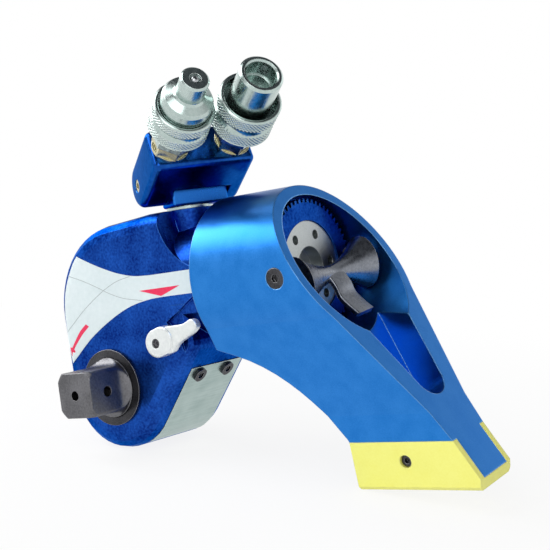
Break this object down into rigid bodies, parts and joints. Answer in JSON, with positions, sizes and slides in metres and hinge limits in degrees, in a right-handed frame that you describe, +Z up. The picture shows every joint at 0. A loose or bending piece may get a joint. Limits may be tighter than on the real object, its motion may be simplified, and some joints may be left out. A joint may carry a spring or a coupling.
{
  "type": "hydraulic torque wrench",
  "caption": "Square-drive hydraulic torque wrench: ratchet housing with cylinder, splined reaction arm with guarded foot, and a tilting hose swivel with quick couplers.",
  "frame": {"origin": "where the drive axis meets the front face of the housing", "axes": "-Y out of the square drive, +Z up as the tool stands on its case bottom and the heel of the foot, +X towards the reaction arm, 10.8 degrees below the cylinder axis"},
  "size_m": [0.269, 0.1097, 0.2234],
  "materials": {
    "blue_anodised": "blue anodised, satin",
    "drive_steel": "hardened alloy steel, dark",
    "bright_steel": "ground steel",
    "black_steel": "black oxide",
    "zinc_plate": "zinc plated, bright",
    "passivate": "zinc plated, yellow passivated",
    "stainless_sheet": "plain stainless sheet",
    "cap_alloy": "clear anodised",
    "lever_white": "pale satin coating",
    "guard_yellow": "moulded, satin",
    "seal": "nitrile rubber",
    "bronze": "bearing bronze"
  },
  "bodies": {
    "housing": {"housing": "blue_anodised", "front_bush": "black_steel", "rear_bush": "black_steel", "case_cover": "stainless_sheet", "cover_screws": "black_steel", "end_cap": "cap_alloy", "cap_seal": "seal", "rod_bush": "bronze", "rod_seal": "seal", "post_ring": "zinc_plate"},
    "drive": {"ratchet_wheel": "drive_steel", "square_drive": "drive_steel", "drive_retainer": "black_steel", "retainer_spring": "bright_steel"},
    "button": {"retainer_button": "bright_steel"},
    "piston": {"piston": "bright_steel", "piston_seal": "seal", "piston_rod": "bright_steel", "rod_head": "bright_steel"},
    "lever": {"lever_plate_front": "drive_steel", "lever_plate_rear": "drive_steel", "lever_pin": "bright_steel", "pawl_pin": "bright_steel"},
    "driving_pawl": {"drive_pawl": "drive_steel"},
    "holding": {"pawl_shaft": "bright_steel", "holding_pawl": "drive_steel", "release_lever": "lever_white", "lever_screw": "black_steel"},
    "arm": {"reaction_arm": "blue_anodised", "foot_guard": "guard_yellow", "guard_screws": "black_steel", "trigger_pin": "drive_steel", "trigger_spring": "bright_steel"},
    "trigger": {"arm_trigger": "drive_steel"},
    "swivel_base": {"swivel_post": "bright_steel", "post_seal_upper": "seal", "post_seal_lower": "seal", "swivel_lug": "blue_anodised"},
    "manifold": {"swivel_block": "blue_anodised", "pivot_shaft": "bright_steel", "pivot_plugs": "passivate", "male_adapter": "passivate", "female_adapter": "passivate", "male_coupler": "zinc_plate", "female_coupler": "zinc_plate"},
    "male_ring": {"male_collar": "zinc_plate"},
    "female_ring": {"female_collar": "zinc_plate"},
    "male_valve": {"male_poppet": "bright_steel"},
    "female_valve": {"female_poppet": "bright_steel"}
  },
  "joints": [
    {"name": "drive_spin", "type": "hinge", "parent": "housing", "child": "drive", "pos_m": [0, 0, 0], "axis": [0, -1, 0], "continuous": true},
    {"name": "button_push", "type": "slide", "parent": "drive", "child": "button", "axis": [0, -1, 0], "range_m": [0, 0.0018], "stiffness_N_per_m": 1500},
    {"name": "piston_stroke", "type": "slide", "parent": "housing", "child": "piston", "axis": [-0.9823, 0, -0.1874], "range_m": [0, 0.02245]},
    {"name": "lever_swing", "type": "hinge", "parent": "housing", "child": "lever", "pos_m": [0, 0.03, 0], "axis": [0, -1, 0], "range_deg": [0, 24]},
    {"name": "drive_pawl_lift", "type": "hinge", "parent": "lever", "child": "driving_pawl", "pos_m": [-0.00798, 0.03, 0.03511], "axis": [0, 1, 0], "range_deg": [0, 8], "stiffness_Nm_per_rad": 1.2},
    {"name": "release_lever_lift", "type": "hinge", "parent": "housing", "child": "holding", "pos_m": [0.04078, 0.03, 0.0317], "axis": [0, -1, 0], "range_deg": [0, 6], "stiffness_Nm_per_rad": 2},
    {"name": "arm_slide", "type": "slide", "parent": "housing", "child": "arm", "axis": [0.9823, 0, 0.1874], "range_m": [0, 0.05]},
    {"name": "trigger_press", "type": "hinge", "parent": "arm", "child": "trigger", "pos_m": [0.12443, 0.02982, 0.08043], "axis": [-0.0196, 0.9945, 0.1027], "range_deg": [0, 10], "stiffness_Nm_per_rad": 0.8},
    {"name": "swivel_turn", "type": "hinge", "parent": "housing", "child": "swivel_base", "pos_m": [0.02852, 0.03, 0.11895], "axis": [-0.1874, 0, 0.9823], "continuous": true},
    {"name": "swivel_tilt", "type": "hinge", "parent": "swivel_base", "child": "manifold", "pos_m": [0.02852, 0.03, 0.11895], "axis": [0.4911, 0.866, 0.0937], "range_deg": [-143.5, 16.5]},
    {"name": "male_collar_spin", "type": "hinge", "parent": "manifold", "child": "male_ring", "pos_m": [0.06034, -0.01244, 0.15228], "axis": [0.6777, -0.4475, 0.5835], "continuous": true},
    {"name": "female_collar_spin", "type": "hinge", "parent": "manifold", "child": "female_ring", "pos_m": [0.07802, 0.01874, 0.15565], "axis": [0.6777, -0.4475, 0.5835], "continuous": true},
    {"name": "male_valve_push", "type": "slide", "parent": "manifold", "child": "male_valve", "axis": [-0.6777, 0.4475, -0.5835], "range_m": [0, 0.003], "stiffness_N_per_m": 1500},
    {"name": "female_valve_push", "type": "slide", "parent": "manifold", "child": "female_valve", "axis": [-0.6777, 0.4475, -0.5835], "range_m": [0, 0.003], "stiffness_N_per_m": 1500}
  ],
  "couplings": [
    {"joint": "lever_swing", "follows": "piston_stroke", "rad_per_m": 18.655}
  ]
}
